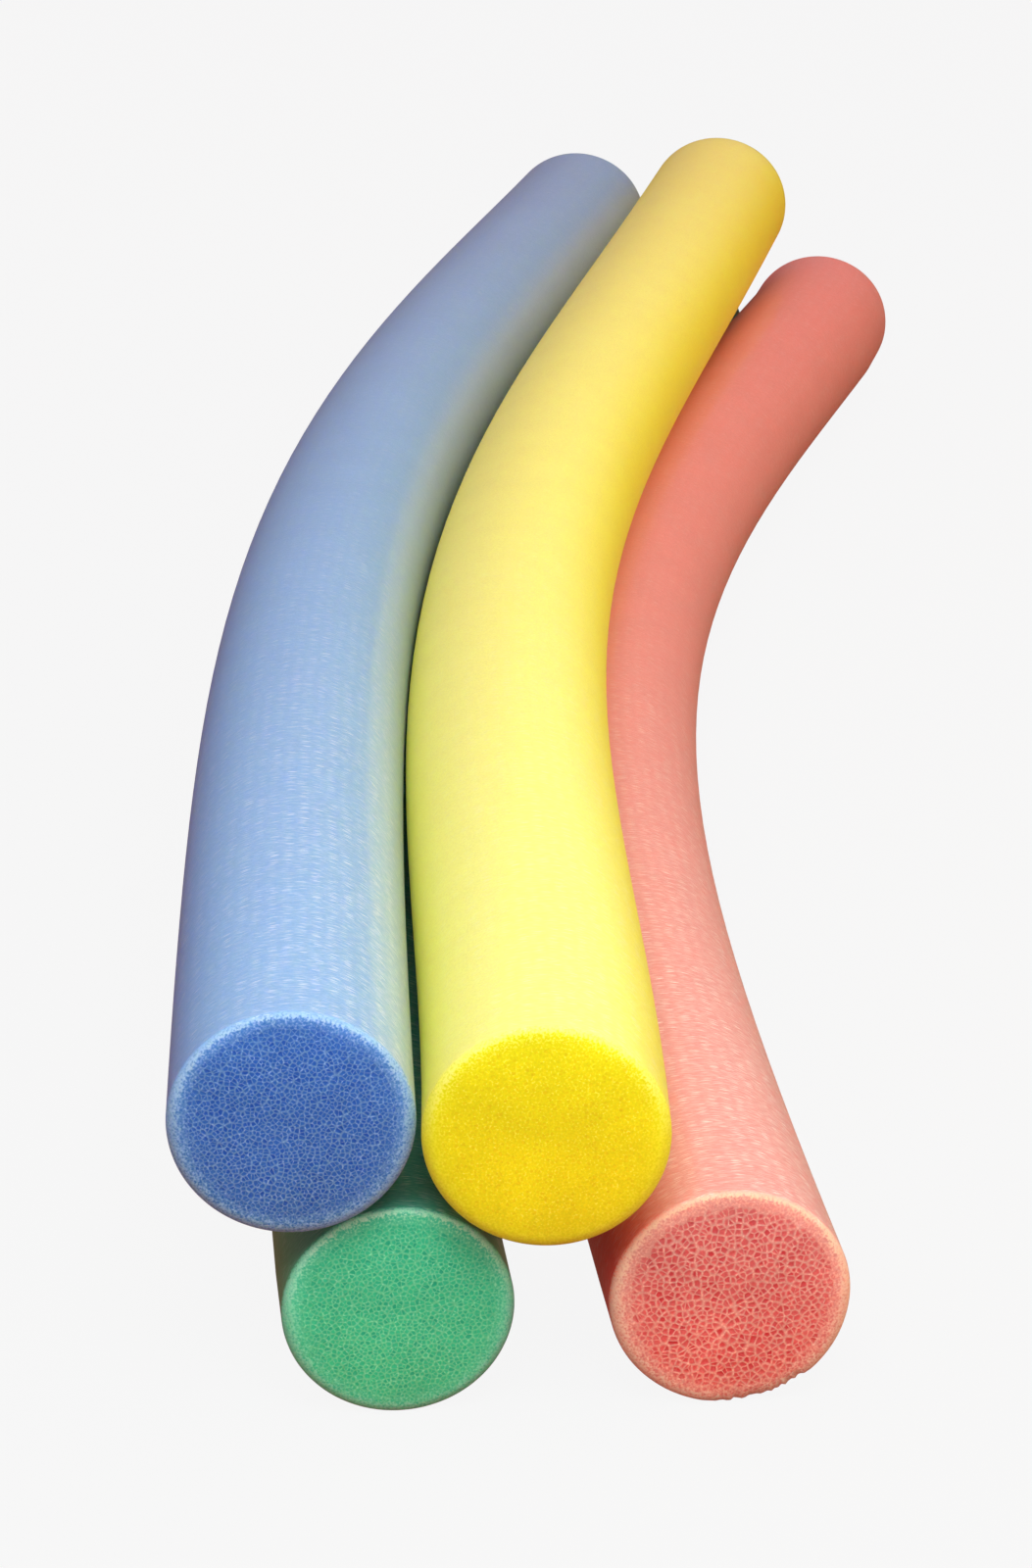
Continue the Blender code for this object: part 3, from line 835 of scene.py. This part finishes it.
def heights_on(plan, spacing, lower_plan, lower_height):
    """How high each point of a centre line has to be to clear a lower noodle by one spacing.

    From the nearest point of the lower line, the height is the third side of a right triangle whose longest
    side is the spacing and whose other side is the way between the two in plan. It is lessened by the height
    share, as the noodles are.
    """
    start, span = lower_plan[:-1], np.diff(lower_plan, axis=0)
    offset = plan[:, None, :] - start[None]
    share = np.clip((offset * span).sum(2) / (span * span).sum(1), 0, 1)
    aside = np.linalg.norm(offset - share[..., None] * span, axis=2).min(1)
    return lower_height + HEIGHT_SHARE * np.sqrt(np.clip(spacing**2 - aside**2, 0, None))


def lay_on(plan, rise, clear_heights):
    """A centre line that slopes by its rise and is let down until it touches."""
    slope = np.linspace(0, rise, len(plan))
    return np.column_stack([plan, slope + (clear_heights - slope).max()])


yellow_plan = cut_to_length(yellow_route, route_place, 0) + pile_shift
over_green = heights_on(yellow_plan, green_spacing, green_plan, green_height)
over_red = heights_on(yellow_plan, like_spacing, red_plan, red_height)
yellow_line = lay_on(yellow_plan, YELLOW_RISE, np.maximum(over_green, over_red))
yellow_noodle = noodle("yellow_noodle_foam", yellow_line, NOODLE_DIAMETER, YELLOW_CELLS)
yellow_foam = foam("yellow_polyethylene_foam", YELLOW_CELLS["cell"], YELLOW_DYE, scatter=(2.0, 1.6, 0.2),
                   painted_glints=0.45, painted_haze=0.03, gloss=0.05, both_flanks=True, foot_rim_highlight=0.08)
dress(yellow_noodle, yellow_foam, "yellow", "yellow_noodle")

# Blue noodle, upper left: the same foam in blue, beside the yellow one and on top of the green one. Its
# skin shows its painted highlights clearly, its cut edge is a pale, granular line with a painted highlight
# at the top, and its right side, which lies against the yellow one, is painted paler as a painted reflection
# of the yellow one's light.
BLUE_LEFT_OF_YELLOW_SHARES = (1.01, 1.015, 1.02, 1.095, 1.105, 1.005)
BLUE_SETBACK = 0.0025
BLUE_RISE = -0.0053
BLUE_CELLS = {
    "cell": 0.00125,
    "wall_shares": (0.26, 0.60),
    "pit_share": 0.28,
    "closed_above": 0.0008,
    "seed": 167,
}
# Its colours, with painted light in the same parts as the red one's: flank, stroke, deep and rim.
BLUE_DYE = {
    "skin": "#84B3E1",
    "shaded_flank": "#6096DE",
    "glint_stroke": "#F0F8FF",
    "cell": "#2B5FB4",
    "wall": "#678FC0",
    "deep": "#1D50AE",
    "closed": "#5890C6",
    "rim": "#A8C9E4",
}

left_of_yellow = tuple(-share for share in BLUE_LEFT_OF_YELLOW_SHARES)
blue_route = route_beside(yellow_route, route_place, left_of_yellow, like_spacing)
blue_plan = cut_to_length(blue_route, route_place, BLUE_SETBACK) + pile_shift
blue_line = lay_on(blue_plan, BLUE_RISE, heights_on(blue_plan, green_spacing, green_plan, green_height))
blue_noodle = noodle("blue_noodle_foam", blue_line, NOODLE_DIAMETER, BLUE_CELLS)
blue_foam = foam("blue_polyethylene_foam", BLUE_CELLS["cell"], BLUE_DYE, scatter=(0.25, 0.4, 1.0),
                 painted_glints=0.85, painted_haze=0.0, painted_reflection=0.8)
dress(blue_noodle, blue_foam, "blue", "blue_noodle")
